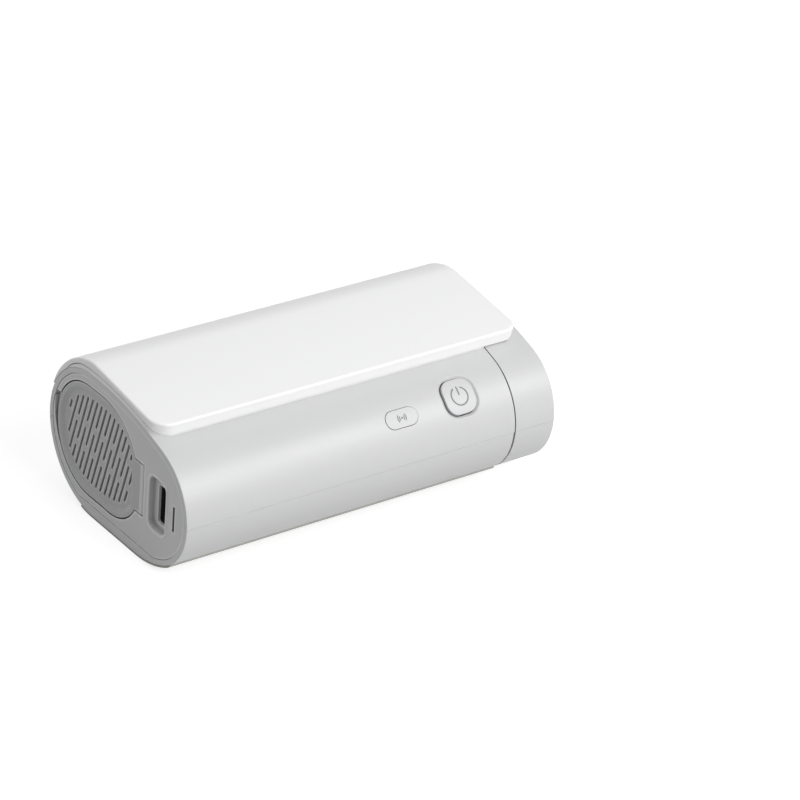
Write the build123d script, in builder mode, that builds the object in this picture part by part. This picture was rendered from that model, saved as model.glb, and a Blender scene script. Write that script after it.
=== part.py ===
from build123d import *

import os
from math import atan2, cos, degrees, radians, sin, tan

# A travel CPAP machine: an oval housing with a curved top cover, two front buttons, a filtered air
# inlet and a power socket on the left end, and a plug-on outlet module with a hose port on the right.
# Millimetres. +Z is up, -Y is the front with the buttons, +X points to the hose port, and the origin
# is the middle of the face that it stands on.

os.makedirs("parts", exist_ok=True)

# ---------------------------------------------------------------- driving dimensions

half_length = 90.35
half_depth = 50.9
pad_thickness = 0.7
wall = 2.4
floor_z = 5.0
parting_z = 29.3
parting_gap = 0.12

# The front of the section is three tangent arcs: (radius, turn in degrees), from the base to the crown.
foot_radius, foot_turn = 46.0, 26.0
belly_radius, belly_turn = 26.8, 135.0
top_radius, top_turn = 163.0, 19.0
# The rear is a round back, from which the seat of the cover turns in on a smaller arc.
back_radius, seat_turn = 34.3, 70.0

seam_x = 70.0
seam_gap = 0.6
skirt_length = 5.0
slide_clearance = 0.35
lap_height, lap_thickness, lap_gap = 1.6, 1.0, 0.1

peg_front_y, peg_rear_y = -12, 26
peg_places = [(x, y) for x in (-70, -8, 54) for y in (peg_front_y, peg_rear_y)]
peg_radius = 1.5

cover_end_x = 86.75
cover_gap, slide_gap = 0.08, 0.3
seat_thickness, seat_gap = 1.8, 0.3
# The seat thins out towards the lip, between two y positions, and towards the back, between two
# angles about the centre of its arc.
seat_front_y, seat_tip_y, seat_tip_height = -19.2, -26.4, 0.25
seat_rear_angle, seat_end_angle = 76.0, 53.5
cover_edge_turn = 110.0
crown_turn = 170.0
crown_radius, slope = 20.0, 7.5
cover_round = 0.9
lip_front_y, lip_top_z, lip_lean, lip_height = -27.7, 63.1, 1.6, 6.2
left_corner_radius, right_corner_radius = 8.5, 6.5

cap_recess = 0.3
cap_thickness = 2.4
fit_gap = 0.2
end_edge_round = 0.4

door_gap = 0.5
door_thickness = 2.4
door_round = 0.45
slit_width, slit_pitch, slit_tilt, slit_count = 1.35, 3.286, 17.9, 16

port_width, port_height, port_depth, port_corner = 11.8, 23.3, 2.55, 3.3
port_y, port_z = -29.3, 29.3
bead_width, bead_height = 1.2, 0.3
socket_width, socket_height, socket_depth = 5.6, 17.0, 9.0
socket_z = 28.6
card_y, card_z = -41.0, 29.2
card_slot_width, card_slot_height = 1.4, 11.3

power_x, power_angle = 45.55, 46.2
power_width, power_height, power_corner = 14.6, 14.7, 5.2
wireless_x, wireless_angle = 15.7, 41.8
wireless_width, wireless_height = 15.5, 7.6
power_gap, wireless_gap = 0.35, 0.2

blower_x, blower_y = 8.0, 2.0
volute_bottom, volute_split, volute_top = 22.0, 31.0, 42.0
volute_wall = 1.8
eye_radius = 11.0
ears = [(-16, -21), (29, -18.5), (-17, 25)]
ear_radius = 4.6
impeller_radius, impeller_bottom, impeller_top = 20.0, 25.0, 37.5
shaft_radius, running_gap = 2.0, 0.05
bearing_radius = 4.5
can_radius, can_bottom = 17.0, 8.6

main_screws = [(-66, -22), (-31, 24), (46, -22), (46, 8)]
module_screw_places = [(80, -22), (80, 31)]
tray_screws = [(-21, -4), (-21, 10), (37, -6), (37, 12)]
post_radius, post_top = 4.4, 33.9
screw_radius, screw_head_radius, screw_head_height = 1.5, 2.7, 2.2
screw_seat, screw_tip = 26.0, 42.0

hose_y, hose_z = 8.0, 33.0
hose_radius, hose_bore = 11.0, 9.0
well_radius = 15.5

# ---------------------------------------------------------------- derived dimensions

left_x, right_x = -half_length, half_length
main_end_x = seam_x - seam_gap / 2
module_start_x = seam_x + seam_gap / 2

belly_y = -half_depth + belly_radius
foot_start_y = (
    -half_depth
    + foot_radius * sin(radians(foot_turn))
    + belly_radius * (1 - sin(radians(foot_turn)))
)
belly_z = (
    pad_thickness
    + foot_radius * (1 - cos(radians(foot_turn)))
    + belly_radius * cos(radians(foot_turn))
)
shoulder_turn = foot_turn + belly_turn
crown_z = (
    belly_z
    - belly_radius * cos(radians(shoulder_turn))
    + top_radius * (1 + cos(radians(shoulder_turn)))
)
seat_radius = (
    crown_z - pad_thickness - back_radius * (1 - cos(radians(seat_turn)))
) / (1 + cos(radians(seat_turn)))
back_y = (
    half_depth
    - back_radius * sin(radians(seat_turn))
    - seat_radius * (1 - sin(radians(seat_turn)))
)
back_z = pad_thickness + back_radius


def save(part, name):
    """Labels a finished piece and writes it to its own STEP file."""
    part.label = name
    export_step(part, f"parts/{name}.step")


def key_plane(x, angle):
    """The plane that touches the belly of the housing at x, angle degrees above its centre."""
    up, out = sin(radians(angle)), cos(radians(angle))
    return Plane(
        origin=(x, belly_y - belly_radius * out, belly_z + belly_radius * up),
        x_dir=(1, 0, 0),
        z_dir=(0, -out, up),
    )


# ---------------------------------------------------------------- sections across the length

# The closed outline of the housing without its cover, in the YZ plane.
with BuildSketch(Plane.YZ) as core:
    with BuildLine():
        foot = JernArc(
            (foot_start_y, pad_thickness), (-1, 0), foot_radius, -foot_turn
        )
        belly = JernArc(foot @ 1, foot % 1, belly_radius, -belly_turn)
        top = JernArc(belly @ 1, belly % 1, top_radius, -top_turn)
        back = JernArc((back_y, pad_thickness), (1, 0), back_radius, seat_turn)
        seat = JernArc(back @ 1, back % 1, seat_radius, 180 - seat_turn)
        Line(top @ 1, seat @ 1)
        Line(foot @ 0, back @ 0)
    make_face()

with BuildSketch(Plane.YZ) as above_floor:
    with Locations((0, floor_z + 50)):
        Rectangle(140, 100)

with BuildSketch(Plane.YZ) as inside:
    add(core.sketch_local)
    offset(amount=-wall, mode=Mode.REPLACE)
    add(above_floor.sketch_local, mode=Mode.INTERSECT)

with BuildSketch(Plane.YZ) as cap_outline:
    add(inside.sketch_local)
    offset(amount=-fit_gap, mode=Mode.REPLACE)



def on_top(y, height):
    """A point of the section at y, a height above the arc of the housing's top."""
    centre = top.arc_center
    radius = top_radius + height
    return centre + Vector(y - centre.X, (radius**2 - (y - centre.X) ** 2) ** 0.5)


def on_seat(angle, height):
    """A point of the section at an angle about the seat's centre, a height above the seat's arc."""
    out = Vector(cos(radians(angle)), sin(radians(angle)))
    return seat.arc_center + out * (seat_radius + height)


with BuildSketch(Plane.YZ) as seat_section:
    add(core.sketch_local)
    offset(amount=seat_thickness, mode=Mode.REPLACE)
    add(core.sketch_local, mode=Mode.SUBTRACT)
    with BuildSketch(mode=Mode.INTERSECT):
        with BuildLine():
            rear_full = on_seat(seat_rear_angle, seat_thickness)
            rear_half = on_seat((seat_rear_angle + seat_end_angle) / 2, 0.62 * seat_thickness)
            rear_tip = on_seat(seat_end_angle, 0)
            front_full = on_top(seat_front_y, seat_thickness)
            front_tip = on_top(seat_tip_y, seat_tip_height)
            ThreePointArc(rear_full, rear_half, rear_tip)
            Polyline(
                rear_tip,
                (rear_tip.X, 40),
                (front_tip.X, 40),
                front_tip,
                front_full,
                (front_full.X, 80),
                (rear_full.X, 80),
                rear_full,
            )
        make_face()

# The cover's outside: up the round back, over the crown, and down a straight slope to the lip.
with BuildSketch(Plane.YZ) as cover_section:
    with BuildLine():
        edge_y = back_y + back_radius * sin(radians(cover_edge_turn))
        edge_z = back_z - back_radius * cos(radians(cover_edge_turn))
        edge_way = (cos(radians(cover_edge_turn)), sin(radians(cover_edge_turn)))
        back_arc = JernArc(
            (edge_y, edge_z), edge_way, back_radius, crown_turn - cover_edge_turn
        )
        crown_arc = JernArc(
            back_arc @ 1, back_arc % 1, crown_radius, 180 + slope - crown_turn
        )
        run = crown_arc.position_at(1).X - (lip_front_y - 4)
        top_line = Line(
            crown_arc @ 1, crown_arc @ 1 + Vector(-run, -run * tan(radians(slope)))
        )
        Polyline(
            top_line @ 1,
            ((top_line @ 1).X, edge_z),
            (edge_y, edge_z),
        )
    make_face()
    with BuildSketch(mode=Mode.SUBTRACT):
        add(core.sketch_local)
        offset(amount=cover_gap, mode=Mode.REPLACE)

with BuildSketch(Plane.YZ) as seat_pocket:
    add(seat_section.sketch_local)
    offset(amount=seat_gap, mode=Mode.REPLACE)

with BuildSketch(Plane.YZ) as slide_space:
    add(core.sketch_local)
    offset(amount=slide_gap, mode=Mode.REPLACE)

# The oval filter cover with its hinge ear, seen on the left end.
oval_top, oval_bottom, oval_rear, oval_break = 57.4, 8.6, 45.1, 33.4
rear_high_radius = 23.0
ear_front, ear_low, ear_high = -19.0, 19.5, 41.9
with BuildSketch(Plane.YZ) as oval:
    with BuildLine():
        top_edge = Line((12.0, oval_top), (oval_rear - rear_high_radius, oval_top))
        rear_high = JernArc(top_edge @ 1, (1, 0), rear_high_radius, -90)
        rear_edge = Line(rear_high @ 1, (oval_rear, oval_break))
        rear_low = JernArc(rear_edge @ 1, (0, -1), oval_break - oval_bottom, -90)
        bottom_edge = Line(rear_low @ 1, (4.5, oval_bottom))
        front_low = JernArc(bottom_edge @ 1, (-1, 0), 20.0, -61.0)
        front_high = JernArc(top_edge @ 0, (-1, 0), 27.2, 63.0)
        Line(front_low @ 1, front_high @ 1)
    make_face()

with BuildSketch(Plane.YZ) as door_outline:
    add(oval.sketch_local)
    with Locations(((ear_front - 8.0) / 2, (ear_low + ear_high) / 2)):
        Rectangle(-8.0 - ear_front, ear_high - ear_low)

with BuildSketch(Plane.YZ) as door_opening:
    add(door_outline.sketch_local)
    offset(amount=door_gap, kind=Kind.INTERSECTION, mode=Mode.REPLACE)

with BuildSketch(Plane.YZ) as filter_outline:
    add(oval.sketch_local)
    offset(amount=-3.2, mode=Mode.REPLACE)

# ---------------------------------------------------------------- shared solids


def between(start, end, outer, inner, bottom=-5.0, top_z=80.0):
    """A length of the band between two depths under the housing's surface, and two heights."""
    with BuildPart() as band:
        with BuildSketch(Plane.YZ.offset(start)):
            with BuildSketch():
                add(core.sketch_local)
                offset(amount=-outer, mode=Mode.REPLACE)
            with BuildSketch(mode=Mode.SUBTRACT):
                add(core.sketch_local)
                offset(amount=-inner, mode=Mode.REPLACE)
            with Locations((0, (bottom + top_z) / 2)):
                Rectangle(140, top_z - bottom, mode=Mode.INTERSECT)
        extrude(amount=end - start)
    return band.part


def housing_wall(start, end, bottom, top_z):
    """A length of the housing's wall, with its flat inner floor, between two heights."""
    with BuildPart() as wall_ring:
        with BuildSketch(Plane.YZ.offset(start)):
            add(core.sketch_local)
            add(inside.sketch_local, mode=Mode.SUBTRACT)
            with Locations((0, (bottom + top_z) / 2)):
                Rectangle(140, top_z - bottom, mode=Mode.INTERSECT)
        extrude(amount=end - start)
    return wall_ring.part


def plate(outline, start, end):
    """A flat plate of one of the outlines above, between two x positions."""
    with BuildPart() as flat:
        with BuildSketch(Plane.YZ.offset(start)):
            add(outline.sketch_local)
        extrude(amount=end - start)
    return flat.part


def posts(places, radius, bottom, top_z):
    """Upright round posts at the given x, y places."""
    with BuildPart() as post:
        with BuildSketch(Plane.XY.offset(bottom)):
            with Locations(*places):
                Circle(radius)
        extrude(amount=top_z - bottom)
    return post.part


def prism(plane, width, height, corner, low, high, at=(0, 0)):
    """A rounded prism that stands square to a key plane, from depth low to depth high."""
    with BuildPart() as block:
        with BuildSketch(plane.offset(-high)):
            with Locations(at):
                RectangleRounded(width, height, corner)
        extrude(amount=high - low)
    return block.part


def x_tube(y, z, outer, inner, start, end):
    """A round tube along the length of the machine."""
    with BuildPart() as tube:
        with BuildSketch(Plane.YZ.offset(start)):
            with Locations((y, z)):
                Circle(outer)
                if inner:
                    Circle(inner, mode=Mode.SUBTRACT)
        extrude(amount=end - start)
    return tube.part


def upper_half(start, end, screws):
    """The upper half of a length of housing, with the bosses that its screws turn into."""
    with BuildPart() as half:
        add(posts(screws, post_radius, post_top + 0.1, 75))
        add(plate(core, start, end), mode=Mode.INTERSECT)
        add(housing_wall(start, end, parting_z + parting_gap / 2, 80))
        rebate_top = parting_z + lap_height + 0.2
        rebate_depth = wall - lap_thickness - lap_gap
        add(
            between(start, end, rebate_depth, wall + 2, parting_z - 1, rebate_top),
            mode=Mode.SUBTRACT,
        )
        add(posts(screws, screw_radius, post_top, screw_tip + 3), mode=Mode.SUBTRACT)
    return half.part


def lower_half(start, end, screws):
    """The lower half of a length of housing, with its lap lip and the hollow posts of its screws."""
    with BuildPart() as half:
        add(housing_wall(start, end, -5, parting_z - parting_gap / 2))
        add(between(start, end, wall - lap_thickness, wall, parting_z - 1, parting_z + lap_height))
        add(posts(screws, post_radius, floor_z - 1, post_top))
        add(posts(screws, screw_radius + 0.15, -2, post_top + 2), mode=Mode.SUBTRACT)
        add(posts(screws, screw_head_radius + 0.2, -2, screw_seat), mode=Mode.SUBTRACT)
    return half.part


def outline_edges(half, end):
    """The edges at one end of a shell half, 0 or -1 along X, that lie on the housing's outline."""
    outline = core.sketch_local.wire()
    end_face = half.faces().filter_by(Axis.X).sort_by(Axis.X)[end]
    middles = [(e, e @ 0.5) for e in end_face.edges()]
    return [e for e, p in middles if outline.distance_to(Vertex(p.Y, p.Z, 0)) < 0.01]


def long_screws(screws):
    """The screws that hold a lower half to an upper half."""
    with BuildPart() as group:
        add(posts(screws, screw_radius, screw_seat, screw_tip))
        add(posts(screws, screw_head_radius, screw_seat - screw_head_height, screw_seat))
        add(posts(screws, 1.3, screw_seat - 3, screw_seat - 1.0), mode=Mode.SUBTRACT)
    return group.part


power_plane = key_plane(power_x, power_angle)
wireless_plane = key_plane(wireless_x, wireless_angle)
bezel_width, bezel_height, bezel_corner, bezel_slope = 17.9, 18.0, 6.8, 1.15
board_depth, board_thickness = 9.4, 1.2
switch_depth, switch_hole = 7.0, 1.9
stem_radius, stem_depth = 1.6, 7.6
power_rib, wireless_rib = 11.6, 11.0

# ---------------------------------------------------------------- main housing shells

with BuildPart() as key_ribs:
    for plane, half_span in ((power_plane, power_rib), (wireless_plane, wireless_rib)):
        for side in (-1, 1):
            add(prism(plane, 1.6, 11.0, 0.3, -2, board_depth, (side * half_span, 0)))
    add(plate(core, 0, 62), mode=Mode.INTERSECT)

with BuildPart() as upper_shell:
    add(upper_half(left_x, main_end_x, main_screws))
    fillet(outline_edges(upper_shell, 0), end_edge_round)
    add(key_ribs.part)
    add(posts(peg_places, peg_radius + 0.2, 55, 75), mode=Mode.SUBTRACT)
    add(
        prism(power_plane, bezel_width, bezel_height, bezel_corner, -3, 8),
        mode=Mode.SUBTRACT,
    )
    add(
        prism(
            wireless_plane,
            wireless_width + 2 * wireless_gap,
            wireless_height + 2 * wireless_gap,
            wireless_height / 2 + wireless_gap - 0.01,
            -3,
            8,
        ),
        mode=Mode.SUBTRACT,
    )
save(upper_shell.part, "upper_shell")

with BuildPart() as lower_shell:
    add(lower_half(left_x, main_end_x, main_screws))
    # Four blind holes in the floor take the screws of the blower tray.
    add(posts(tray_screws, 1.3, 2.2, 8), mode=Mode.SUBTRACT)
    # Below the joint line the edge at the seam is chamfered.
    seam_face = lower_shell.faces().filter_by(Axis.X).sort_by(Axis.X)[-1]
    seam_edges = seam_face.outer_wire().edges().filter_by(
        lambda e: e.length > 12 and (e @ 0.5).Z < parting_z - 1
    )
    chamfer(seam_edges.sort_by(SortBy.LENGTH)[-4:], 0.4)
    fillet(outline_edges(lower_shell, 0), end_edge_round)
save(lower_shell.part, "lower_shell")

# ---------------------------------------------------------------- top cover and its seat

lean_reach = 17.0
lean_drop = 62.0
with BuildPart() as cover_block:
    # The rounded plan is pushed down along the lean of the lip's face.
    with BuildSketch(Plane.XY.offset(lip_top_z + lean_reach)) as cover_plan:
        front_y = lip_front_y - lean_reach * lip_lean / lip_height
        with Locations(((left_x + cover_end_x) / 2, (front_y + 70) / 2)):
            Rectangle(cover_end_x - left_x, 70 - front_y)
        front_corners = cover_plan.vertices().group_by(Axis.Y)[0].sort_by(Axis.X)
        fillet(front_corners[0], left_corner_radius)
        fillet(
            cover_plan.vertices().group_by(Axis.Y)[0].sort_by(Axis.X)[-1],
            right_corner_radius,
        )
    extrude(amount=lean_drop, dir=(0, lip_lean, -lip_height))

with BuildPart() as top_cover:
    add(plate(cover_section, left_x, cover_end_x))
    # Over the outlet module the cover stands clear, so that the module can slide.
    add(plate(slide_space, main_end_x, cover_end_x + 1), mode=Mode.SUBTRACT)
    with BuildSketch(Plane.YZ.offset(left_x - 1)):
        add(seat_pocket.sketch_local)
    extrude(amount=cover_end_x - 5 - left_x + 1, mode=Mode.SUBTRACT)
    add(cover_block.part, mode=Mode.INTERSECT)
    upper_faces = top_cover.faces().filter_by(lambda f: f.normal_at().Z > 0.1)
    # The top edge is rounded all round, except along the thin rear edge.
    upper_edges = upper_faces.edges()
    rim = [
        e
        for e in upper_edges
        if sum(e.is_same(other) for other in upper_edges) == 1
        and (e @ 0.5).Z > edge_z + 1
    ]
    fillet(rim, cover_round)
    for row_y, peg_top in ((peg_front_y, 63.6), (peg_rear_y, 66.0)):
        row = [place for place in peg_places if place[1] == row_y]
        add(posts(row, peg_radius, 56, peg_top))
save(top_cover.part, "top_cover")

with BuildPart() as cover_seat_strip:
    add(plate(seat_section, left_x, main_end_x))
    add(cover_block.part, mode=Mode.INTERSECT)
    add(posts(peg_places, peg_radius + 0.2, 50, 80), mode=Mode.SUBTRACT)
save(cover_seat_strip.part, "cover_seat_strip")

# ---------------------------------------------------------------- base pad

pad_front_y, pad_rear_y, pad_inset = -40.2, 24.9, 0.05
with BuildPart() as base_pad:
    add(between(left_x + pad_inset, main_end_x - 0.3, -pad_thickness, 0, -5, 10))
    pad_middle = ((left_x + main_end_x) / 2, (pad_front_y + pad_rear_y) / 2, 5)
    with Locations(pad_middle):
        Box(200, pad_rear_y - pad_front_y, 30, mode=Mode.INTERSECT)
    add(posts(main_screws, screw_head_radius + 0.5, -3, 5), mode=Mode.SUBTRACT)
save(base_pad.part, "base_pad")

# ---------------------------------------------------------------- left end: cap and filter cover

cap_x = left_x + cap_recess
cap_back_x = cap_x + cap_thickness
knuckle_radius, pin_radius = 1.35, 0.75
hinge_x, hinge_y = cap_x + knuckle_radius, -17.65
notch_depth = 1.9
cup_wall, cup_floor = 1.2, 1.2

with BuildPart() as inlet_end_cap:
    add(plate(cap_outline, cap_x, cap_back_x))
    with BuildSketch(Plane.YZ.offset(cap_x)):
        with Locations((port_y, port_z)):
            RectangleRounded(
                port_width + 2 * cup_wall, port_height + 2 * cup_wall, port_corner + cup_wall
            )
    extrude(amount=port_depth + cup_floor)
    # A low bead runs round the mouth of the recess.
    with BuildSketch(Plane.YZ.offset(cap_x - bead_height)):
        with Locations((port_y, port_z)):
            RectangleRounded(
                port_width + 2 * bead_width, port_height + 2 * bead_width, port_corner + bead_width
            )
    extrude(amount=bead_height)
    # The finger notch is a shallow crescent that opens into the pocket of the filter cover.
    with BuildSketch(Plane.YZ.offset(cap_x)):
        with BuildLine():
            ThreePointArc((46.5, 44.5), (47.2, 35.0), (43.2, 22.3))
            Polyline((43.2, 22.3), (36.0, 33.7), (43.4, 44.9), (46.5, 44.5))
        make_face()
    extrude(amount=notch_depth, mode=Mode.SUBTRACT)
    with BuildSketch(Plane.YZ.offset(cap_x - 1)):
        add(door_opening.sketch_local)
    extrude(amount=cap_thickness + 2, mode=Mode.SUBTRACT)
    with BuildSketch(Plane.YZ.offset(cap_x - 1)):
        with Locations((port_y, port_z)):
            RectangleRounded(port_width, port_height, port_corner)
    extrude(amount=port_depth + 1, mode=Mode.SUBTRACT)
    with BuildSketch(Plane.YZ.offset(cap_x)):
        with Locations((port_y, socket_z)):
            RectangleRounded(socket_width, socket_height, 1.0)
        with Locations((card_y, card_z)):
            RectangleRounded(card_slot_width, card_slot_height, 0.3)
    extrude(amount=port_depth + cup_floor + 1, mode=Mode.SUBTRACT)
    with Locations((hinge_x, hinge_y, (ear_low + ear_high) / 2)):
        Cylinder(pin_radius, ear_high - ear_low + 2.4, mode=Mode.SUBTRACT)
    bead_face = inlet_end_cap.faces().filter_by(Axis.X).sort_by(Axis.X)[0]
    fillet(bead_face.outer_wire().edges(), 0.28)
    bead_face = inlet_end_cap.faces().filter_by(Axis.X).sort_by(Axis.X)[0]
    fillet(bead_face.inner_wires()[0].edges(), 0.6)
save(inlet_end_cap.part, "inlet_end_cap")

rim_inset, rim_slope, dish_depth = 1.8, 2.0, 1.2
# The slits fill a rounded field, and each is broken once; the breaks lie on two shallow arcs.
slit_centre_y, slit_centre_z, field_half_y, field_half_z, field_power = 14.9, 32.5, 24.7, 19.5, 2.54
even_break, odd_break, break_bend, break_middle = (25.65, 28.75), (36.8, 39.9), 0.001, 3
first_slit_y, shortest_slit = 40.4, 2.0
door_back_x = cap_x + door_thickness


def slit_pieces(number):
    """The stretches of one slanted slit, as (low z, high z), cut short by the oval field."""
    offset_y = first_slit_y - slit_pitch * (number - 1)
    heights = []
    for step in range(-200, 201):
        z = slit_centre_z + step * 0.1
        y = offset_y - tan(radians(slit_tilt)) * (z - slit_centre_z)
        reach = abs((y - slit_centre_y) / field_half_y) ** field_power
        reach += abs((z - slit_centre_z) / field_half_z) ** field_power
        if reach < 1:
            heights.append(z)
    if not heights:
        return []
    drop = break_bend * (slit_pitch * (number - break_middle)) ** 2
    gap_low, gap_high = even_break if number % 2 == 0 else odd_break
    stretches = [
        (min(heights), min(max(heights), gap_low - drop)),
        (max(min(heights), gap_high - drop), max(heights)),
    ]
    return [(low, high) for low, high in stretches if high - low > shortest_slit]


with BuildPart() as filter_cover:
    add(plate(oval, cap_x, door_back_x))
    fillet(filter_cover.faces().sort_by(Axis.X)[0].outer_wire().edges(), door_round)
    with Locations(((cap_x + door_back_x) / 2, (hinge_y - 8) / 2, (ear_low + ear_high) / 2)):
        Box(door_thickness, -8 - hinge_y, ear_high - ear_low)
    with Locations((hinge_x, hinge_y, (ear_low + ear_high) / 2)):
        Cylinder(knuckle_radius, ear_high - ear_low)
        Cylinder(pin_radius + running_gap, 60, mode=Mode.SUBTRACT)
    with BuildSketch(Plane.YZ.offset(cap_x)):
        add(oval.sketch_local)
        offset(amount=-rim_inset, mode=Mode.REPLACE)
    extrude(
        amount=dish_depth,
        taper=degrees(atan2(rim_slope, dish_depth)),
        mode=Mode.SUBTRACT,
    )
    with BuildSketch(Plane.YZ.offset(cap_x - 1)):
        for number in range(1, slit_count + 1):
            line_y = first_slit_y - slit_pitch * (number - 1)
            for low, high in slit_pieces(number):
                z = (low + high) / 2
                y = line_y - tan(radians(slit_tilt)) * (z - slit_centre_z)
                with Locations((y, z)):
                    SlotOverall(
                        (high - low) / cos(radians(slit_tilt)),
                        slit_width,
                        rotation=90 + slit_tilt,
                    )
    extrude(amount=door_thickness + 2, mode=Mode.SUBTRACT)
save(filter_cover.part, "filter_cover")

with BuildPart() as filter_cover_pin:
    with Locations((hinge_x, hinge_y, (ear_low + ear_high) / 2)):
        Cylinder(pin_radius, ear_high - ear_low + 2.4)
save(filter_cover_pin.part, "filter_cover_pin")

# ---------------------------------------------------------------- air inlet, behind the filter cover

box_front_x, box_flange_x, box_back_x = cap_back_x + 0.35, cap_back_x + 1.6, -73.5
port_centre_y, port_centre_z, port_radius = 12.0, 33.0, 10.0
with BuildPart() as filter_box:
    with BuildSketch(Plane.YZ.offset(box_front_x)):
        add(oval.sketch_local)
        offset(amount=2.0, mode=Mode.REPLACE)
    extrude(amount=box_flange_x - box_front_x)
    with BuildSketch(Plane.YZ.offset(box_flange_x)):
        add(oval.sketch_local)
        offset(amount=0.6, mode=Mode.REPLACE)
    extrude(amount=box_back_x - box_flange_x)
    with BuildSketch(Plane.YZ.offset(box_front_x - 1)):
        add(oval.sketch_local)
        offset(amount=-1.2, mode=Mode.REPLACE)
    extrude(amount=7.6, mode=Mode.SUBTRACT)
    # The smaller part behind leaves a ledge for the foam to rest on.
    with BuildSketch(Plane.YZ.offset(box_front_x + 6)):
        add(filter_outline.sketch_local)
    extrude(amount=box_back_x - box_front_x - 6 - 1.6, mode=Mode.SUBTRACT)
    with BuildSketch(Plane.YZ.offset(box_back_x - 3)):
        with Locations((port_centre_y, port_centre_z)):
            Circle(port_radius)
    extrude(amount=5, mode=Mode.SUBTRACT)
save(filter_box.part, "filter_box")

with BuildPart() as air_filter:
    with BuildSketch(Plane.YZ.offset(box_front_x + 0.75)):
        add(oval.sketch_local)
        offset(amount=-1.4, mode=Mode.REPLACE)
    extrude(amount=5.8)
save(air_filter.part, "air_filter")

silencer_start, silencer_end = -73.5, -38.0
silencer_wall = 1.6
duct_top, duct_bottom, duct_wall = 54.0, 42.0, 1.4
duct_front_y, duct_rear_y = -10.0, 14.0
with BuildPart() as silencer_box:
    with Locations(((silencer_start + silencer_end) / 2, 9, 31.5)):
        Box(silencer_end - silencer_start, 50, 45)
    offset(amount=-silencer_wall, mode=Mode.SUBTRACT)
    with BuildSketch(Plane.YZ.offset(silencer_start - 1)):
        with Locations((port_centre_y, port_centre_z)):
            Circle(port_radius)
    extrude(amount=4, mode=Mode.SUBTRACT)
    with BuildSketch(Plane.YZ.offset(silencer_end - 3)):
        with Locations(((duct_front_y + duct_rear_y) / 2, (duct_top + duct_bottom) / 2)):
            Rectangle(
                duct_rear_y - duct_front_y - 2 * duct_wall,
                duct_top - duct_bottom - 2 * duct_wall,
            )
    extrude(amount=4, mode=Mode.SUBTRACT)
save(silencer_box.part, "silencer_box")

with BuildPart() as silencer_foam:
    with Locations(((silencer_start + silencer_end) / 2, 9, 31.5)):
        Box(
            silencer_end - silencer_start - 2 * silencer_wall - 0.2,
            50 - 2 * silencer_wall - 0.2,
            45 - 2 * silencer_wall - 0.2,
        )
    with Locations(((silencer_start + silencer_end) / 2, 4, 38)):
        Box(60, 27, 32, mode=Mode.SUBTRACT)
save(silencer_foam.part, "silencer_foam")

duct_end = 22.0
with BuildPart() as inlet_duct:
    with BuildSketch(Plane.XZ.offset(-duct_front_y)):
        with Locations(((silencer_end + duct_end) / 2, (duct_top + duct_bottom) / 2)):
            Rectangle(duct_end - silencer_end, duct_top - duct_bottom)
    extrude(amount=-(duct_rear_y - duct_front_y))
    fillet(inlet_duct.edges().filter_by(Axis.Z).group_by(Axis.X)[-1], 9.0)
    inner = inlet_duct.faces().sort_by(Axis.X)[0]
    offset(amount=-duct_wall, openings=inner, mode=Mode.REPLACE)
    with Locations((blower_x, blower_y, duct_bottom)):
        Cylinder(eye_radius, 6, mode=Mode.SUBTRACT)
save(inlet_duct.part, "inlet_duct")

# ---------------------------------------------------------------- blower

tray_start, tray_end, tray_front_y, tray_rear_y, tray_top = -25.0, 41.0, -28.0, 27.0, 6.6
mount_bottom = 14.0
with BuildPart() as chassis:
    with Locations(
        ((tray_start + tray_end) / 2, (tray_front_y + tray_rear_y) / 2, (floor_z + tray_top) / 2)
    ):
        Box(tray_end - tray_start, tray_rear_y - tray_front_y, tray_top - floor_z)
    fillet(chassis.edges().filter_by(Axis.Z), 4.0)
    add(posts(ears, 4.0, tray_top - 0.3, mount_bottom))
    add(posts(tray_screws, 1.35, 0, 10), mode=Mode.SUBTRACT)
save(chassis.part, "chassis")

with BuildPart() as chassis_screws:
    add(posts(tray_screws, 1.3, 2.4, tray_top))
    add(posts(tray_screws, 2.5, tray_top, tray_top + 1.4))
    add(posts(tray_screws, 1.0, tray_top + 0.6, tray_top + 2), mode=Mode.SUBTRACT)
save(chassis_screws.part, "chassis_screws")

with BuildPart() as blower_mounts:
    add(posts(ears, 4.0, mount_bottom, volute_bottom))
    add(posts(ears, 5.0, mount_bottom + 2.5, volute_bottom - 2.5))
save(blower_mounts.part, "blower_mounts")

# The scroll grows in four quarter turns, then leaves along the length of the machine.
scroll_start, scroll_step = 24.0, 2.0
outlet_end = 40.0
with BuildSketch(Plane.XY) as scroll:
    with BuildLine():
        quarter_1 = JernArc((blower_x, blower_y + 23), (1, 0), scroll_start, -90)
        quarter_2 = JernArc(quarter_1 @ 1, quarter_1 % 1, scroll_start + scroll_step, -90)
        quarter_3 = JernArc(quarter_2 @ 1, quarter_2 % 1, scroll_start + 2 * scroll_step, -90)
        quarter_4 = JernArc(quarter_3 @ 1, quarter_3 % 1, scroll_start + 3 * scroll_step, -90)
        Line(quarter_4 @ 1, quarter_1 @ 0)
    make_face()
    duct_low_y, duct_high_y = blower_y + 23, (quarter_4 @ 1).Y
    with Locations(((blower_x + outlet_end) / 2, (duct_low_y + duct_high_y) / 2)):
        Rectangle(outlet_end - blower_x, duct_high_y - duct_low_y)
    with Locations((blower_x + 5, duct_low_y - 1)):
        Rectangle(10, duct_high_y - duct_low_y)

with BuildSketch(Plane.XY) as scroll_outside:
    add(scroll.sketch_local)
    offset(amount=volute_wall, mode=Mode.REPLACE)
    with Locations(*ears):
        Circle(ear_radius)
    with Locations((outlet_end + 20, blower_y + 30)):
        Rectangle(40, 60, mode=Mode.SUBTRACT)

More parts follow.
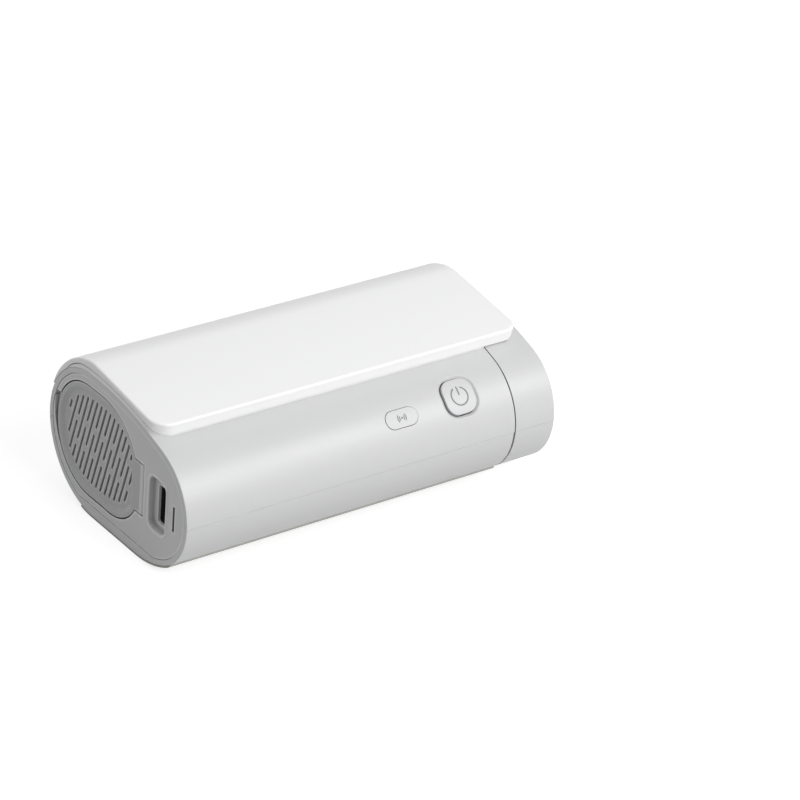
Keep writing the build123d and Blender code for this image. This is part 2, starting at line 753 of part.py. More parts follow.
with BuildPart() as volute_lower:
    with BuildSketch(Plane.XY.offset(volute_bottom)):
        add(scroll_outside.sketch_local)
    extrude(amount=volute_split - volute_bottom)
    with BuildSketch(Plane.XY.offset(volute_bottom + volute_wall)):
        add(scroll.sketch_local)
    extrude(amount=volute_split, mode=Mode.SUBTRACT)
    # The hub below holds the upper bearing of the shaft.
    with Locations((blower_x, blower_y, volute_bottom - 0.6)):
        Cylinder(bearing_radius + 1.8, 4.8)
        Cylinder(bearing_radius, 8, mode=Mode.SUBTRACT)
    add(posts(ears, 1.45, volute_bottom + 2.5, 60), mode=Mode.SUBTRACT)
save(volute_lower.part, "volute_lower")

with BuildPart() as volute_upper:
    with BuildSketch(Plane.XY.offset(volute_split)):
        add(scroll_outside.sketch_local)
    extrude(amount=volute_top - volute_split)
    with BuildSketch(Plane.XY.offset(volute_split)):
        add(scroll.sketch_local)
    extrude(amount=volute_top - volute_split - volute_wall, mode=Mode.SUBTRACT)
    with Locations((blower_x, blower_y, volute_top)):
        Cylinder(eye_radius, 10, mode=Mode.SUBTRACT)
    add(posts(ears, 1.45, 0, 60), mode=Mode.SUBTRACT)
save(volute_upper.part, "volute_upper")

with BuildPart() as volute_screws:
    add(posts(ears, 1.4, volute_bottom + 3, volute_top))
    add(posts(ears, 2.6, volute_top, volute_top + 1.8))
    add(posts(ears, 1.1, volute_top + 0.8, volute_top + 3), mode=Mode.SUBTRACT)
save(volute_screws.part, "volute_screws")

bearing_low_z, bearing_high_z, bearing_height = 9.8, 19.2, 3.0
can_wall = 1.2
with BuildPart() as motor_can:
    with BuildSketch(Plane.XY.offset(can_bottom)):
        with Locations((blower_x, blower_y)):
            Circle(can_radius)
    extrude(amount=volute_bottom - can_bottom)
    with BuildSketch(Plane.XY.offset(can_bottom + can_wall)):
        with Locations((blower_x, blower_y)):
            Circle(can_radius - can_wall)
    extrude(amount=volute_bottom, mode=Mode.SUBTRACT)
    with BuildSketch(Plane.XY.offset(can_bottom)):
        with Locations((blower_x, blower_y)):
            Circle(bearing_radius + 1.5)
            Circle(bearing_radius, mode=Mode.SUBTRACT)
    extrude(amount=bearing_low_z + bearing_height - can_bottom)
save(motor_can.part, "motor_can")

with BuildPart() as shaft_bearings:
    for low in (bearing_low_z, bearing_high_z):
        with BuildSketch(Plane.XY.offset(low)):
            with Locations((blower_x, blower_y)):
                Circle(bearing_radius)
                Circle(shaft_radius + running_gap, mode=Mode.SUBTRACT)
        extrude(amount=bearing_height)
save(shaft_bearings.part, "shaft_bearings")

with BuildPart() as motor_stator:
    with BuildSketch(Plane.XY.offset(13.4)):
        with Locations((blower_x, blower_y)):
            Circle(can_radius - can_wall)
            Circle(13.4, mode=Mode.SUBTRACT)
            # Nine toothed poles carry the windings.
            with PolarLocations(11.8, 9):
                Rectangle(4.4, 4.2)
    extrude(amount=5.4)
save(motor_stator.part, "motor_stator")

with BuildPart() as rotor_magnet:
    with BuildSketch(Plane.XY.offset(13.6)):
        with Locations((blower_x, blower_y)):
            Circle(8.8)
            Circle(shaft_radius, mode=Mode.SUBTRACT)
    extrude(amount=4.9)
save(rotor_magnet.part, "rotor_magnet")

with BuildPart() as rotor_shaft:
    with BuildSketch(Plane.XY.offset(10.4)):
        with Locations((blower_x, blower_y)):
            Circle(shaft_radius)
    extrude(amount=25.6)
save(rotor_shaft.part, "rotor_shaft")

blade_count = 9
with BuildPart() as impeller:
    with BuildSketch(Plane.XY.offset(impeller_bottom)):
        with Locations((blower_x, blower_y)):
            Circle(impeller_radius)
    extrude(amount=1.4)
    with BuildSketch(Plane.XY.offset(impeller_bottom)):
        with Locations((blower_x, blower_y)):
            Circle(4.6)
    extrude(amount=11.6)
    with BuildSketch(Plane.XY.offset(impeller_bottom + 1.0)):
        with BuildLine():
            ThreePointArc((4.0, 0), (12.5, 3.0), (19.2, -1.6))
            offset(amount=0.55)
        make_face()
    blade = extrude(amount=impeller_top - impeller_bottom - 1.0, mode=Mode.PRIVATE)
    with Locations((blower_x, blower_y)):
        with PolarLocations(0, blade_count):
            add(blade)
    # The blades are lower at the rim than at the hub.
    with BuildSketch(Plane.XZ.offset(-blower_y)):
        with BuildLine():
            Polyline(
                (blower_x + 9, impeller_top),
                (blower_x + 26, impeller_top - 7),
                (blower_x + 26, impeller_top + 1),
                (blower_x + 9, impeller_top + 1),
                close=True,
            )
        make_face()
    revolve(axis=Axis((blower_x, blower_y, 0), (0, 0, 1)), mode=Mode.SUBTRACT)
    with Locations((blower_x, blower_y, 30)):
        Cylinder(shaft_radius, 40, mode=Mode.SUBTRACT)
save(impeller.part, "impeller")

# ---------------------------------------------------------------- air outlet, up to the seam

bulkhead_x, bulkhead_thickness, spigot_end = 62.0, 2.4, 72.0
stub_y, stub_z = (duct_low_y + duct_high_y) / 2, (volute_bottom + volute_top) / 2
stub_width, stub_height = duct_high_y - duct_low_y, volute_top - volute_bottom - 2 * volute_wall
with BuildPart() as outlet_duct:
    for grow, mode in ((volute_wall, Mode.ADD), (0, Mode.SUBTRACT)):
        with BuildSketch(Plane.YZ.offset(outlet_end)) as square_end:
            with Locations((stub_y, stub_z)):
                RectangleRounded(stub_width + 2 * grow, stub_height + 2 * grow, 1 + grow)
        with BuildSketch(Plane.YZ.offset(bulkhead_x)) as round_end:
            with Locations((hose_y, hose_z)):
                Circle(hose_bore + grow * 2 / volute_wall)
        loft(sections=[square_end.sketch, round_end.sketch], mode=mode)
save(outlet_duct.part, "outlet_duct")

with BuildPart() as outlet_bulkhead:
    add(plate(cap_outline, bulkhead_x, bulkhead_x + bulkhead_thickness))
    add(x_tube(hose_y, hose_z, hose_radius, 0, bulkhead_x, spigot_end))
    chamfer(outlet_bulkhead.edges().filter_by(GeomType.CIRCLE).sort_by(Axis.X)[-1], 0.6)
    with Locations((0, hose_y, hose_z)):
        Cylinder(hose_bore, 200, rotation=(0, 90, 0), mode=Mode.SUBTRACT)
save(outlet_bulkhead.part, "outlet_bulkhead")

collar_bore, collar_radius, collar_start = 12.2, 14.0, 66.5
save(x_tube(hose_y, hose_z, collar_bore - 0.3, hose_radius, 68.0, 70.0), "spigot_seal")

with BuildPart() as flow_sensor:
    with Locations((bulkhead_x - 2.0, -9.5, 33)):
        Box(4.0, 11, 13)
    with Locations((bulkhead_x - 5.2, -9.5, 36), (bulkhead_x - 5.2, -9.5, 30)):
        Cylinder(1.3, 2.4, rotation=(0, 90, 0))
save(flow_sensor.part, "flow_sensor")

# ---------------------------------------------------------------- electronics

board_y, board_bottom, board_top, board_start, board_end = -35.2, 10.0, 36.0, -66.0, 57.0
main_board_thickness = 1.6
part_face_y = board_y + main_board_thickness / 2
with BuildPart() as main_board:
    with Locations(((board_start + board_end) / 2, board_y, (board_bottom + board_top) / 2)):
        Box(board_end - board_start, main_board_thickness, board_top - board_bottom)
        with GridLocations(board_end - board_start - 8, 0, 2, 1):
            Cylinder(1.6, 10, rotation=(90, 0, 0), mode=Mode.SUBTRACT)
save(main_board.part, "main_board")

# Each chip: middle x, middle z, width, height, thickness.
chips = (
    (-52, 24, 14, 14, 1.6),
    (-34, 27, 9, 9, 1.6),
    (-30, 15, 6, 4, 2.2),
    (-16, 22, 12, 12, 4.2),
    (36, 26, 12, 7, 1.6),
    (38, 15, 8, 6, 3.0),
    (50, 22, 5, 12, 4.6),
)
with BuildPart() as board_components:
    for x, z, width, height, thickness in chips:
        with Locations((x, part_face_y + thickness / 2, z)):
            Box(width, thickness, height)
save(board_components.part, "board_components")

with BuildPart() as wireless_module:
    with Locations((16, part_face_y + 1.1, 25)):
        Box(18, 2.2, 14)
save(wireless_module.part, "wireless_module")


def switch_board(plane, half_span):
    """The small board under one key."""
    low, high = board_depth, board_depth + board_thickness
    return prism(plane, 2 * half_span + 2.6, 11.0, 0.8, low, high)


save(switch_board(power_plane, power_rib), "power_switch_board")
save(switch_board(wireless_plane, wireless_rib), "wireless_switch_board")

with BuildPart() as tact_switches:
    for plane in (power_plane, wireless_plane):
        add(prism(plane, 6.2, 6.2, 0.4, switch_depth, board_depth))
        add(
            prism(plane, 2 * switch_hole, 2 * switch_hole, switch_hole - 0.01, 0, 8.8),
            mode=Mode.SUBTRACT,
        )
save(tact_switches.part, "tact_switches")

socket_body_width, socket_body_height, socket_end = 9.6, 21.0, -71.0
socket_start = cap_x + port_depth + cup_floor
with BuildPart() as power_socket:
    with BuildSketch(Plane.YZ.offset(socket_start)):
        with Locations((port_y, socket_z)):
            RectangleRounded(socket_body_width, socket_body_height, 1.5)
    extrude(amount=socket_end - socket_start)
    with BuildSketch(Plane.YZ.offset(socket_start)):
        with Locations((port_y, socket_z)):
            RectangleRounded(socket_width, socket_height, 1.0)
    extrude(amount=socket_depth, mode=Mode.SUBTRACT)
    for step in (-1, 0, 1):
        with Locations((socket_end, port_y, socket_z + 5 * step)):
            Box(20, 0.7, 2.4, mode=Mode.SUBTRACT)
save(power_socket.part, "power_socket")

with BuildPart() as socket_contacts:
    for step in (-1, 0, 1):
        with Locations((socket_end - 2.5, port_y, socket_z + 5 * step)):
            Box(11.0, 0.7, 2.4)
save(socket_contacts.part, "socket_contacts")

reader_end, card_length, card_height, card_thickness = -70.0, 15.0, 11.0, 1.0
card_start = cap_x + 0.9
with BuildPart() as card_reader:
    with Locations(((cap_back_x + reader_end) / 2, card_y, card_z)):
        Box(reader_end - cap_back_x, 3.6, 15.5)
    with Locations((cap_back_x + 7.5, card_y, card_z)):
        Box(15.0, card_slot_width, card_slot_height, mode=Mode.SUBTRACT)
save(card_reader.part, "card_reader")

with BuildPart() as memory_card:
    with Locations((card_start + card_length / 2, card_y, card_z)):
        Box(card_length, card_thickness, card_height)
    chamfer(memory_card.edges().filter_by(Axis.Y).group_by(Axis.X)[-1].sort_by(Axis.Z)[0], 1.2)
save(memory_card.part, "memory_card")

# ---------------------------------------------------------------- buttons

key_start, key_end = 0.0, 62.0
bezel_depth, bezel_lip_depth, bezel_lip_reach = 3.7, 2.5, 1.5

with BuildPart() as bezel_lip:
    reach = 2 * bezel_lip_reach
    add(
        prism(
            power_plane,
            bezel_width + reach,
            bezel_height + reach,
            bezel_corner + bezel_lip_reach,
            -3,
            9,
        )
    )
    add(between(key_start, key_end, bezel_lip_depth, bezel_depth), mode=Mode.INTERSECT)

with BuildPart() as power_button_bezel:
    add(prism(power_plane, bezel_width, bezel_height, bezel_corner, -3, 8))
    add(between(key_start, key_end, 0, bezel_depth), mode=Mode.INTERSECT)
    add(bezel_lip.part)
    add(
        prism(
            power_plane,
            power_width + 2 * power_gap,
            power_height + 2 * power_gap,
            power_corner + power_gap,
            -3,
            9,
        ),
        mode=Mode.SUBTRACT,
    )
    # The ring's face slopes down to the key all round.
    outwards = Axis(power_plane.origin, power_plane.z_dir)
    ring_face = power_button_bezel.faces().sort_by(outwards)[-1]
    chamfer(ring_face.inner_wires()[0].edges(), bezel_slope)
save(power_button_bezel.part, "power_button_bezel")

key_proud, cap_skin, icon_depth, icon_sunk = 0.2, 2.2, 0.55, 0.2
cap_wall, flange_reach, flange_low, flange_high = 1.3, 0.8, 4.1, 5.1
power_icon_radius, power_icon_drop, icon_stroke, icon_gap_angle = 3.87, 1.5, 0.62, 58
bar_length, bar_middle = 3.9, 2.25
dot_radius, arc_radii, arc_stroke, arc_span = 0.42, (1.15, 2.0), 0.36, 80


def banded(solid, low, high):
    """What a solid has between two depths under the housing's surface."""
    with BuildPart() as kept:
        add(solid)
        add(between(key_start, key_end, low, high), mode=Mode.INTERSECT)
    return kept.part


def key_cap(plane, width, height, corner, low, high):
    """A hollow key: a curved face, walls, a flange that keeps it in, and a stem to its switch."""
    reach = 2 * flange_reach
    with BuildPart() as cap:
        add(banded(prism(plane, width, height, corner, -3, 9), -key_proud, high))
        wide = prism(plane, width + reach, height + reach, corner + flange_reach, -3, 9)
        add(banded(wide, low, high))
        hollow = prism(
            plane,
            width - 2 * cap_wall,
            height - 2 * cap_wall,
            corner - cap_wall,
            -3,
            9,
        )
        add(banded(hollow, cap_skin, 10), mode=Mode.SUBTRACT)
        stem = prism(plane, 2 * stem_radius, 2 * stem_radius, stem_radius - 0.01, 1.5, stem_depth)
        add(stem)
    return cap.part


with BuildPart() as power_icon_block:
    with BuildSketch(power_plane.offset(-3)):
        with Locations((0, -power_icon_drop)):
            with BuildLine():
                half_gap = icon_gap_angle / 2
                CenterArc((0, 0), power_icon_radius, 90 + half_gap, 360 - icon_gap_angle)
                offset(amount=icon_stroke / 2)
            make_face()
        with Locations((0, bar_middle)):
            SlotOverall(bar_length, icon_stroke, rotation=90)
    extrude(amount=6)

with BuildPart() as wireless_icon_block:
    with BuildSketch(wireless_plane.offset(-3)):
        Circle(dot_radius)
        for facing in (0, 180):
            for radius in arc_radii:
                with BuildLine():
                    CenterArc((0, 0), radius, facing - arc_span / 2, arc_span)
                    offset(amount=arc_stroke / 2)
                make_face()
    extrude(amount=6)

power_icon = banded(power_icon_block.part, icon_sunk - key_proud, icon_depth - key_proud)
save(power_icon, "power_icon")

wireless_icon = banded(wireless_icon_block.part, icon_sunk - key_proud, icon_depth - key_proud)
save(wireless_icon, "wireless_icon")

with BuildPart() as power_button:
    add(key_cap(power_plane, power_width, power_height, power_corner, flange_low, flange_high))
    # The icon lies at the bottom of a shallow engraving.
    add(banded(power_icon_block.part, -1, icon_depth - key_proud), mode=Mode.SUBTRACT)
save(power_button.part, "power_button")

with BuildPart() as wireless_button:
    add(
        key_cap(
            wireless_plane,
            wireless_width,
            wireless_height,
            wireless_height / 2 - 0.01,
            wall + 0.4,
            wall + 1.4,
        )
    )
    add(banded(wireless_icon_block.part, -1, icon_depth - key_proud), mode=Mode.SUBTRACT)
save(wireless_button.part, "wireless_button")

# ---------------------------------------------------------------- outlet module

with BuildPart() as module_upper_shell:
    add(upper_half(module_start_x, right_x, module_screw_places))
    fillet(outline_edges(module_upper_shell, -1), end_edge_round)
save(module_upper_shell.part, "module_upper_shell")

with BuildPart() as module_lower_shell:
    add(lower_half(module_start_x, right_x, module_screw_places))
    fillet(outline_edges(module_lower_shell, -1), end_edge_round)
save(module_lower_shell.part, "module_lower_shell")

skirt_wall, skirt_root = 1.4, 2.7
with BuildPart() as module_skirt:
    for start, end, clearance in (
        (module_start_x - skirt_length, module_start_x, slide_clearance),
        (module_start_x, module_start_x + skirt_root, 0),
    ):
        with BuildSketch(Plane.YZ.offset(start)):
            with BuildSketch():
                add(inside.sketch_local)
                offset(amount=-clearance, mode=Mode.REPLACE)
            with BuildSketch(mode=Mode.SUBTRACT):
                add(inside.sketch_local)
                offset(amount=-slide_clearance - skirt_wall, mode=Mode.REPLACE)
        extrude(amount=end - start)
save(module_skirt.part, "module_skirt")

end_plate_x, tube_root_x, tube_disc = right_x - 2.6, 72.6, 2.0
hose_end_x = 90.0
well_wall = 1.5
with BuildPart() as outlet_end_plate:
    add(plate(cap_outline, end_plate_x, end_plate_x + cap_thickness))
    with Locations((end_plate_x, hose_y, hose_z)):
        Cylinder(well_radius, 20, rotation=(0, 90, 0), mode=Mode.SUBTRACT)
    chamfer(outlet_end_plate.edges().filter_by(GeomType.CIRCLE).sort_by(Axis.X)[-1], 0.5)
save(outlet_end_plate.part, "outlet_end_plate")

well_start = tube_root_x + tube_disc
well = x_tube(hose_y, hose_z, well_radius + well_wall, well_radius, well_start, end_plate_x)
save(well, "outlet_well")

with BuildPart() as hose_outlet:
    add(x_tube(hose_y, hose_z, well_radius + well_wall, 0, tube_root_x, well_start))
    add(x_tube(hose_y, hose_z, collar_radius, collar_bore, collar_start, tube_root_x))
    add(x_tube(hose_y, hose_z, hose_radius, 0, well_start, hose_end_x))
    chamfer(hose_outlet.edges().filter_by(GeomType.CIRCLE).sort_by(Axis.X)[-1], 0.5)
    with Locations((tube_root_x, hose_y, hose_z)):
        Cylinder(hose_bore, 80, rotation=(0, 90, 0), mode=Mode.SUBTRACT)
save(hose_outlet.part, "hose_outlet")

# ---------------------------------------------------------------- long screws

save(long_screws(main_screws), "case_screws")
save(long_screws(module_screw_places), "module_screws")
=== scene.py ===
import math

import bmesh
import bpy
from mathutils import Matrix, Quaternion, Vector

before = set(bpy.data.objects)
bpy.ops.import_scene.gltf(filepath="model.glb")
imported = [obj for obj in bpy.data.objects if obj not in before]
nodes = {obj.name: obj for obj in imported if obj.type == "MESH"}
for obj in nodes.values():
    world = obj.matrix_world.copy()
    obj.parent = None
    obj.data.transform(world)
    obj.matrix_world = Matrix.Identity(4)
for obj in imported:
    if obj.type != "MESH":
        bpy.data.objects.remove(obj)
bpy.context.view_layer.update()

# ------------------------------------------------------------------ camera
# A long lens looks down on the front left corner of the machine, so the inlet end and the two
# buttons both show. The camera is rolled a little, as a hand-held one is.
camera_place = Vector((-0.764914, -1.029176, 0.747665))
camera_aim = Vector((0.54333062, 0.68707287, -0.48241342))
camera_roll = math.radians(4.7519)
lens_mm, sensor_mm, sight_limit = 161.84, 36.0, 20.0
camera_data = bpy.data.cameras.new("camera")
camera_data.lens = lens_mm
camera_data.sensor_width = sensor_mm
camera_data.clip_end = sight_limit
camera = bpy.data.objects.new("camera", camera_data)
bpy.context.scene.collection.objects.link(camera)
camera.rotation_mode = "QUATERNION"
camera_turn = camera_aim.to_track_quat("-Z", "Y")
view_axis = (0, 0, 1)
camera.rotation_quaternion = camera_turn @ Quaternion(view_axis, camera_roll)
camera.location = camera_place
bpy.context.scene.camera = camera
bpy.context.scene.view_settings.view_transform = "Standard"

# ------------------------------------------------------------------ floor
# A plain sheet of white studio board. It shows as white to the camera and to reflections, apart
# from the soft shadow that the machine leaves on it.
floor_half_width, floor_drop = 6.0, 0.0001
board_tone, board_glow_strength = 0.5, 0.74
floor_mesh = bpy.data.meshes.new("floor")
floor_form = bmesh.new()
bmesh.ops.create_grid(floor_form, x_segments=1, y_segments=1, size=floor_half_width)
bmesh.ops.translate(floor_form, verts=floor_form.verts, vec=(0, 0, -floor_drop))
floor_form.to_mesh(floor_mesh)
floor_form.free()
floor = bpy.data.objects.new("floor", floor_mesh)
bpy.context.scene.collection.objects.link(floor)


def looked_at(tree):
    """A socket that is 1 for the camera, for reflections and for what shows through glass."""
    rays = tree.nodes.new("ShaderNodeLightPath")
    seen = rays.outputs["Is Camera Ray"]
    for kind in ("Is Glossy Ray", "Is Transmission Ray"):
        either = tree.nodes.new("ShaderNodeMath")
        either.operation = "MAXIMUM"
        tree.links.new(seen, either.inputs[0])
        tree.links.new(rays.outputs[kind], either.inputs[1])
        seen = either.outputs[0]
    return seen


floor_board = bpy.data.materials.new("studio_board")
floor_board.use_nodes = True
board_tree = floor_board.node_tree
board_shader = board_tree.nodes["Principled BSDF"]
board_shader.inputs["Base Color"].default_value = (board_tone, board_tone, board_tone, 1)
board_shader.inputs["Roughness"].default_value = 1.0
board_shader.inputs["Specular IOR Level"].default_value = 0.0
board_glow = board_tree.nodes.new("ShaderNodeEmission")
board_glow.inputs["Strength"].default_value = board_glow_strength
board_glow_seen = board_tree.nodes.new("ShaderNodeMixShader")
board_sum = board_tree.nodes.new("ShaderNodeAddShader")
board_tree.links.new(looked_at(board_tree), board_glow_seen.inputs[0])
board_tree.links.new(board_glow.outputs[0], board_glow_seen.inputs[2])
board_tree.links.new(board_shader.outputs[0], board_sum.inputs[0])
board_tree.links.new(board_glow_seen.outputs[0], board_sum.inputs[1])
board_tree.links.new(board_sum.outputs[0], board_tree.nodes["Material Output"].inputs["Surface"])
floor_mesh.materials.append(floor_board)

# ------------------------------------------------------------------ light
# Soft panels overhead, in front, off the right corner, above the inlet end and, weakly, behind, in
# a pale room. The room is white where the camera or a reflection looks at it, and dimmer where it
# lights.
white = (1, 1, 1, 1)
room_light_strength, room_seen_strength = 0.205, 1.0
room = bpy.data.worlds.new("room")
bpy.context.scene.world = room
room.use_nodes = True
room_tree = room.node_tree
room_light = room_tree.nodes["Background"]
room_light.inputs["Color"].default_value = white
room_light.inputs["Strength"].default_value = room_light_strength
room_seen = room_tree.nodes.new("ShaderNodeBackground")
room_seen.inputs["Color"].default_value = white
room_seen.inputs["Strength"].default_value = room_seen_strength
room_mix = room_tree.nodes.new("ShaderNodeMixShader")
room_tree.links.new(looked_at(room_tree), room_mix.inputs[0])
room_tree.links.new(room_light.outputs[0], room_mix.inputs[1])
room_tree.links.new(room_seen.outputs[0], room_mix.inputs[2])
room_tree.links.new(room_mix.outputs[0], room_tree.nodes["World Output"].inputs["Surface"])


def soft_panel(name, place, aim, width, watts):
    """A square softbox at place, facing aim."""
    lamp = bpy.data.lights.new(name, "AREA")
    lamp.size = width
    lamp.energy = watts
    panel = bpy.data.objects.new(name, lamp)
    panel.location = place
    panel.rotation_euler = (Vector(aim) - Vector(place)).to_track_quat("-Z", "Y").to_euler()
    bpy.context.scene.collection.objects.link(panel)


floor_middle = (0, 0, 0)
machine_middle = (0, 0, 0.03)
soft_panel("overhead_panel", (0.0, 0.3, 1.6), floor_middle, width=1.3, watts=3.4)
soft_panel("front_panel", (0.2, -1.6, 0.9), machine_middle, width=0.8, watts=17.6)
soft_panel("corner_panel", (0.92, -1.01, 1.01), machine_middle, width=0.7, watts=7.6)
soft_panel("rear_panel", (0.1, 1.6, 0.7), machine_middle, width=1.0, watts=2.6)
soft_panel("end_panel", (-1.1, 0.2, 1.2), machine_middle, width=0.8, watts=3.2)

# ------------------------------------------------------------------ housing shells
# The housing is two half shells of light grey plastic, moulded with a fine satin texture, joined
# along a hairline at half height. Its edges are painted a little lighter as painted highlight, and
# its hairline and gaps a little darker as painted shade.
housing_grey = (0.64, 0.642, 0.646)


def new_group(name, inputs, outputs):
    """An empty shader node group with the named value inputs and outputs."""
    group = bpy.data.node_groups.new(name, "ShaderNodeTree")
    number = "NodeSocketFloat"
    for socket_name, value in inputs:
        socket = group.interface.new_socket(socket_name, in_out="INPUT", socket_type=number)
        socket.default_value = value
    for socket_name in outputs:
        group.interface.new_socket(socket_name, in_out="OUTPUT", socket_type=number)
    return group, group.nodes.new("NodeGroupInput"), group.nodes.new("NodeGroupOutput")


# Moulded texture: a fine even grain for the height, and a slow drift for tone and gloss.
common_grain, slow_drift = 2600.0, 28.0
moulded, moulded_in, moulded_out = new_group(
    "moulded_texture",
    [("Grain per metre", common_grain), ("Drift per metre", slow_drift)],
    ["Height", "Drift"],
)
moulded_place = moulded.nodes.new("ShaderNodeTexCoord")
moulded_grain = moulded.nodes.new("ShaderNodeTexNoise")
moulded_grain.inputs["Detail"].default_value = 2.0
moulded_grain.inputs["Roughness"].default_value = 0.55
moulded_drift = moulded.nodes.new("ShaderNodeTexNoise")
moulded_drift.inputs["Detail"].default_value = 3.0
moulded.links.new(moulded_place.outputs["Object"], moulded_grain.inputs["Vector"])
moulded.links.new(moulded_place.outputs["Object"], moulded_drift.inputs["Vector"])
moulded.links.new(moulded_in.outputs["Grain per metre"], moulded_grain.inputs["Scale"])
moulded.links.new(moulded_in.outputs["Drift per metre"], moulded_drift.inputs["Scale"])
moulded.links.new(moulded_grain.outputs["Fac"], moulded_out.inputs["Height"])
moulded.links.new(moulded_drift.outputs["Fac"], moulded_out.inputs["Drift"])

# Painted edge highlight: edges are painted lighter by how far a slightly rounded edge would turn
# away from the flat face beside it, and, for rims that are round already, by how near the other
# side of the rim is. It stands in for the light that rounded edges catch, not for wear.
highlight_radius, highlight_from, highlight_to = 0.0005, 0.995, 0.86
rim_reach, rim_from, rim_to = 0.0012, 0.93, 0.55
feeler_samples = 8
edges, edges_in, edges_out = new_group("painted_edge_highlight", [("Amount", 1.0), ("Rim", 0.0)], ["Edge"])
edges_round = edges.nodes.new("ShaderNodeBevel")
edges_round.samples = feeler_samples
edges_round.inputs["Radius"].default_value = highlight_radius
edges_flat = edges.nodes.new("ShaderNodeNewGeometry")
edges_dot = edges.nodes.new("ShaderNodeVectorMath")
edges_dot.operation = "DOT_PRODUCT"
edges_range = edges.nodes.new("ShaderNodeMapRange")
edges_range.inputs["From Min"].default_value = highlight_from
edges_range.inputs["From Max"].default_value = highlight_to
edges_amount = edges.nodes.new("ShaderNodeMath")
edges_amount.operation = "MULTIPLY"
edges.links.new(edges_round.outputs["Normal"], edges_dot.inputs[0])
edges.links.new(edges_flat.outputs["Normal"], edges_dot.inputs[1])
edges.links.new(edges_dot.outputs["Value"], edges_range.inputs["Value"])
edges.links.new(edges_range.outputs["Result"], edges_amount.inputs[0])
edges.links.new(edges_in.outputs["Amount"], edges_amount.inputs[1])
edges_near = edges.nodes.new("ShaderNodeAmbientOcclusion")
edges_near.inside = True
edges_near.samples = feeler_samples
edges_near.inputs["Distance"].default_value = rim_reach
edges_near_range = edges.nodes.new("ShaderNodeMapRange")
edges_near_range.inputs["From Min"].default_value = rim_from
edges_near_range.inputs["From Max"].default_value = rim_to
edges_rim = edges.nodes.new("ShaderNodeMath")
edges_rim.operation = "MULTIPLY"
edges_either = edges.nodes.new("ShaderNodeMath")
edges_either.operation = "MAXIMUM"
edges.links.new(edges_near.outputs["AO"], edges_near_range.inputs["Value"])
edges.links.new(edges_near_range.outputs["Result"], edges_rim.inputs[0])
edges.links.new(edges_in.outputs["Rim"], edges_rim.inputs[1])
edges.links.new(edges_amount.outputs[0], edges_either.inputs[0])
edges.links.new(edges_rim.outputs[0], edges_either.inputs[1])
edges.links.new(edges_either.outputs[0], edges_out.inputs["Edge"])

# Painted shade in crevices: how deep a point lies in a slit, a gap or an inner corner sets how much
# shade is painted into the colour there.
crevice_reach, crevice_start, crevice_full = 0.0016, 0.52, 0.14
crevice, crevice_in, crevice_out = new_group(
    "painted_crevice_shade",
    [("Reach", crevice_reach), ("Start", crevice_start), ("Amount", 0.6)],
    ["Shade"],
)
crevice_open = crevice.nodes.new("ShaderNodeAmbientOcclusion")
crevice_open.samples = feeler_samples
crevice_range = crevice.nodes.new("ShaderNodeMapRange")
crevice_range.inputs["From Max"].default_value = crevice_full
crevice_amount = crevice.nodes.new("ShaderNodeMath")
crevice_amount.operation = "MULTIPLY"
crevice.links.new(crevice_in.outputs["Reach"], crevice_open.inputs["Distance"])
crevice.links.new(crevice_in.outputs["Start"], crevice_range.inputs["From Min"])
crevice.links.new(crevice_open.outputs["AO"], crevice_range.inputs["Value"])
crevice.links.new(crevice_range.outputs["Result"], crevice_amount.inputs[0])
crevice.links.new(crevice_in.outputs["Amount"], crevice_amount.inputs[1])
crevice.links.new(crevice_amount.outputs[0], crevice_out.inputs["Shade"])

# These hold for every finish: how far its gloss drifts, how round its edges are moulded, and how
# dark the painted shade in a full crevice is beside the open surface.
gloss_drift, moulded_edge_radius, rounding_samples, painted_shade_tone = 0.08, 0.0003, 6, 0.1


